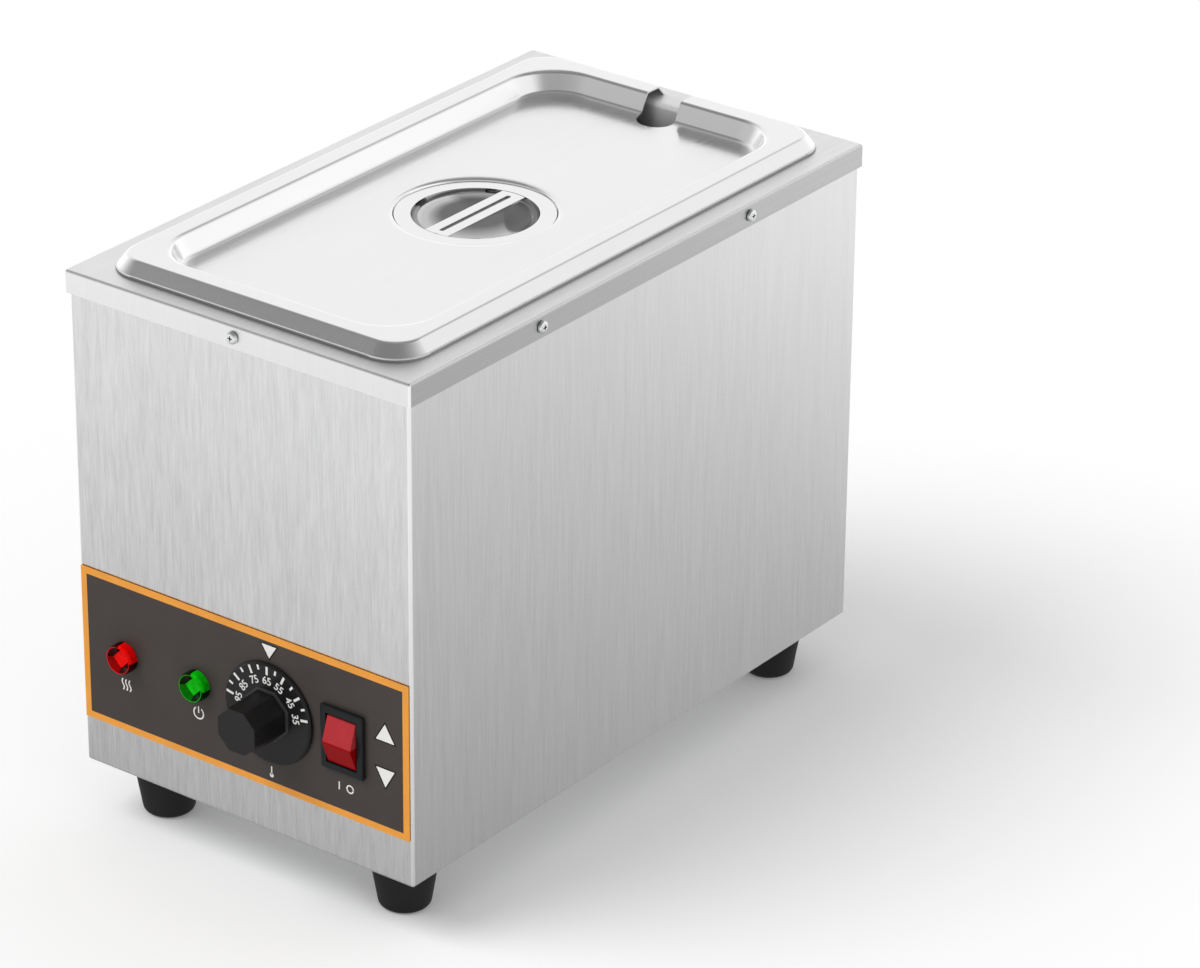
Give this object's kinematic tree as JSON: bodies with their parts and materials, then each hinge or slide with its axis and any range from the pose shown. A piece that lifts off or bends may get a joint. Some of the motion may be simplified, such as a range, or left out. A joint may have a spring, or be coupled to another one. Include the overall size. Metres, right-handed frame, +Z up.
{
  "type": "counter-top chocolate melter",
  "caption": "Counter-top wet-bath chocolate melter: steel cabinet, lift-out pan with a notched lid, thermostat knob, lamps, rocker switch and feet.",
  "frame": {"origin": "on the counter, under the middle of the whole machine", "axes": "+Z up, front with the controls towards -Y, +X to the right as seen from the front"},
  "size_m": [0.2042, 0.3866, 0.2882],
  "materials": {
    "brushed_steel": "vertically brushed stainless sheet",
    "polished_steel": "satin polished stainless pressing",
    "zinc_plated_steel": "zinc plated",
    "black_rubber": "matt moulded rubber",
    "label_grey": "printed plastic label, satin",
    "red_lens": "clear red lens",
    "green_lens": "clear green lens",
    "white_nylon": "natural nylon",
    "black_bakelite": "moulded, semi-matt",
    "black_nylon": "moulded, fine texture",
    "rocker_red": "glossy moulding",
    "brass": "turned brass",
    "red_silicone": "moulded silicone",
    "copper": "drawn copper tube",
    "wire_brown": "wire insulation",
    "wire_blue": "wire insulation"
  },
  "bodies": {
    "casing": {"housing_shell": "brushed_steel", "top_deck": "brushed_steel", "base_plate": "zinc_plated_steel", "foot_front_left": "black_rubber", "foot_front_right": "black_rubber", "foot_rear_left": "black_rubber", "foot_rear_right": "black_rubber", "foot_screw_front_left": "zinc_plated_steel", "foot_screw_front_right": "zinc_plated_steel", "foot_screw_rear_left": "zinc_plated_steel", "foot_screw_rear_right": "zinc_plated_steel", "deck_screw_front": "zinc_plated_steel", "deck_screw_rear": "zinc_plated_steel", "deck_screw_right_front": "zinc_plated_steel", "deck_screw_right_rear": "zinc_plated_steel", "deck_screw_left_front": "zinc_plated_steel", "deck_screw_left_rear": "zinc_plated_steel", "water_tank": "brushed_steel", "control_label": "label_grey", "red_lamp_lens": "red_lens", "red_lamp_body": "white_nylon", "red_lamp_nut": "white_nylon", "green_lamp_lens": "green_lens", "green_lamp_body": "white_nylon", "green_lamp_nut": "white_nylon", "thermostat_frame": "zinc_plated_steel", "thermostat_body": "black_bakelite", "thermostat_screw_left": "zinc_plated_steel", "thermostat_screw_right": "zinc_plated_steel", "thermostat_bulb": "copper", "thermostat_capillary": "copper", "bulb_clip": "zinc_plated_steel", "switch_housing": "black_nylon", "heating_element": "polished_steel", "element_bushing_left": "brass", "element_bushing_right": "brass", "element_gasket_left": "red_silicone", "element_gasket_right": "red_silicone", "element_nut_left": "brass", "element_nut_right": "brass", "cord_gland_body": "black_nylon", "cord_gland_seal": "black_rubber", "cord_gland_cap": "black_nylon", "cord_gland_locknut": "black_nylon", "terminal_block": "white_nylon", "earth_stud": "brass", "earth_nut": "brass", "wire_live": "wire_brown", "wire_switched": "wire_brown", "wire_element": "wire_brown", "wire_neutral": "wire_blue", "wire_lamp_link": "wire_blue", "wire_lamp_neutral": "wire_blue"},
    "knob": {"thermostat_knob": "black_bakelite", "thermostat_shaft": "zinc_plated_steel"},
    "rocker": {"switch_rocker": "rocker_red"},
    "pan": {"food_pan": "polished_steel"},
    "pan_lid": {"lid": "polished_steel", "lid_handle_cup": "polished_steel", "lid_handle_bar": "polished_steel"}
  },
  "joints": [
    {"name": "knob_turn", "type": "hinge", "parent": "casing", "child": "knob", "pos_m": [0.0165, -0.1693, 0.0928], "axis": [0, 1, 0], "range_deg": [-92.75, 79.5]},
    {"name": "rocker_tilt", "type": "hinge", "parent": "casing", "child": "rocker", "pos_m": [0.0601, -0.1668, 0.0928], "axis": [1, 0, 0], "range_deg": [-12, 0]},
    {"name": "pan_lift", "type": "slide", "parent": "casing", "child": "pan", "axis": [0, 0, 1], "range_m": [0, 0.16]},
    {"name": "lid_lift", "type": "slide", "parent": "pan", "child": "pan_lid", "axis": [0, 0, 1], "range_m": [0, 0.08]}
  ]
}
